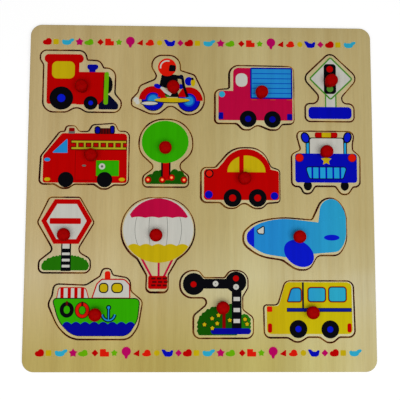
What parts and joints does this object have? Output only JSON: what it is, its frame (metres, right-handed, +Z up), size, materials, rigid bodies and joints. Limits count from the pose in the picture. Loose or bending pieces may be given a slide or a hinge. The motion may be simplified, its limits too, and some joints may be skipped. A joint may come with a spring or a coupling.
{
  "type": "peg puzzle",
  "caption": "Square wooden lift-out puzzle: a printed plywood board whose cut-outs hold flush vehicle and roadside pieces, each lifted by a red knob.",
  "frame": {"origin": "centre of the board's underside, which rests on the table", "axes": "+Z up out of the board, +X to the viewer's right, +Y to the far edge of the board"},
  "size_m": [0.3, 0.3, 0.021],
  "materials": {
    "backing_wood": "bare sanded plywood",
    "board_wood": "sanded plywood with a clear satin lacquer",
    "peg_paint": "turned beech with red gloss paint",
    "train_print": "plywood printed mainly in red, satin lacquer",
    "motorcycle_print": "plywood printed mainly in blue, satin lacquer",
    "truck_print": "plywood printed mainly in crimson, satin lacquer",
    "traffic_light_print": "plywood printed mainly in white, satin lacquer",
    "fire_engine_print": "plywood printed mainly in red, satin lacquer",
    "tree_print": "plywood printed mainly in green, satin lacquer",
    "car_print": "plywood printed mainly in red, satin lacquer",
    "police_car_print": "plywood printed mainly in blue, satin lacquer",
    "road_sign_print": "plywood printed mainly in white, satin lacquer",
    "balloon_print": "plywood printed mainly in yellow, satin lacquer",
    "plane_print": "plywood printed mainly in light blue, satin lacquer",
    "boat_print": "plywood printed mainly in green, satin lacquer",
    "rail_signal_print": "plywood printed mainly in dark green, satin lacquer",
    "van_print": "plywood printed mainly in yellow, satin lacquer"
  },
  "bodies": {
    "board": {"backing_board": "backing_wood", "frame_board": "board_wood"},
    "train": {"train_piece": "train_print", "train_peg": "peg_paint"},
    "motorcycle": {"motorcycle_piece": "motorcycle_print", "motorcycle_peg": "peg_paint"},
    "truck": {"truck_piece": "truck_print", "truck_peg": "peg_paint"},
    "traffic_light": {"traffic_light_piece": "traffic_light_print", "traffic_light_peg": "peg_paint"},
    "fire_engine": {"fire_engine_piece": "fire_engine_print", "fire_engine_peg": "peg_paint"},
    "tree": {"tree_piece": "tree_print", "tree_peg": "peg_paint"},
    "car": {"car_piece": "car_print", "car_peg": "peg_paint"},
    "police_car": {"police_car_piece": "police_car_print", "police_car_peg": "peg_paint"},
    "road_sign": {"road_sign_piece": "road_sign_print", "road_sign_peg": "peg_paint"},
    "balloon": {"balloon_piece": "balloon_print", "balloon_peg": "peg_paint"},
    "plane": {"plane_piece": "plane_print", "plane_peg": "peg_paint"},
    "boat": {"boat_piece": "boat_print", "boat_peg": "peg_paint"},
    "rail_signal": {"rail_signal_piece": "rail_signal_print", "rail_signal_peg": "peg_paint"},
    "van": {"van_piece": "van_print", "van_peg": "peg_paint"}
  },
  "joints": [
    {"name": "train_lift", "type": "slide", "parent": "board", "child": "train", "axis": [0, 0, 1], "range_m": [0, 0.03]},
    {"name": "motorcycle_lift", "type": "slide", "parent": "board", "child": "motorcycle", "axis": [0, 0, 1], "range_m": [0, 0.03]},
    {"name": "truck_lift", "type": "slide", "parent": "board", "child": "truck", "axis": [0, 0, 1], "range_m": [0, 0.03]},
    {"name": "traffic_light_lift", "type": "slide", "parent": "board", "child": "traffic_light", "axis": [0, 0, 1], "range_m": [0, 0.03]},
    {"name": "fire_engine_lift", "type": "slide", "parent": "board", "child": "fire_engine", "axis": [0, 0, 1], "range_m": [0, 0.03]},
    {"name": "tree_lift", "type": "slide", "parent": "board", "child": "tree", "axis": [0, 0, 1], "range_m": [0, 0.03]},
    {"name": "car_lift", "type": "slide", "parent": "board", "child": "car", "axis": [0, 0, 1], "range_m": [0, 0.03]},
    {"name": "police_car_lift", "type": "slide", "parent": "board", "child": "police_car", "axis": [0, 0, 1], "range_m": [0, 0.03]},
    {"name": "road_sign_lift", "type": "slide", "parent": "board", "child": "road_sign", "axis": [0, 0, 1], "range_m": [0, 0.03]},
    {"name": "balloon_lift", "type": "slide", "parent": "board", "child": "balloon", "axis": [0, 0, 1], "range_m": [0, 0.03]},
    {"name": "plane_lift", "type": "slide", "parent": "board", "child": "plane", "axis": [0, 0, 1], "range_m": [0, 0.03]},
    {"name": "boat_lift", "type": "slide", "parent": "board", "child": "boat", "axis": [0, 0, 1], "range_m": [0, 0.03]},
    {"name": "rail_signal_lift", "type": "slide", "parent": "board", "child": "rail_signal", "axis": [0, 0, 1], "range_m": [0, 0.03]},
    {"name": "van_lift", "type": "slide", "parent": "board", "child": "van", "axis": [0, 0, 1], "range_m": [0, 0.03]}
  ]
}
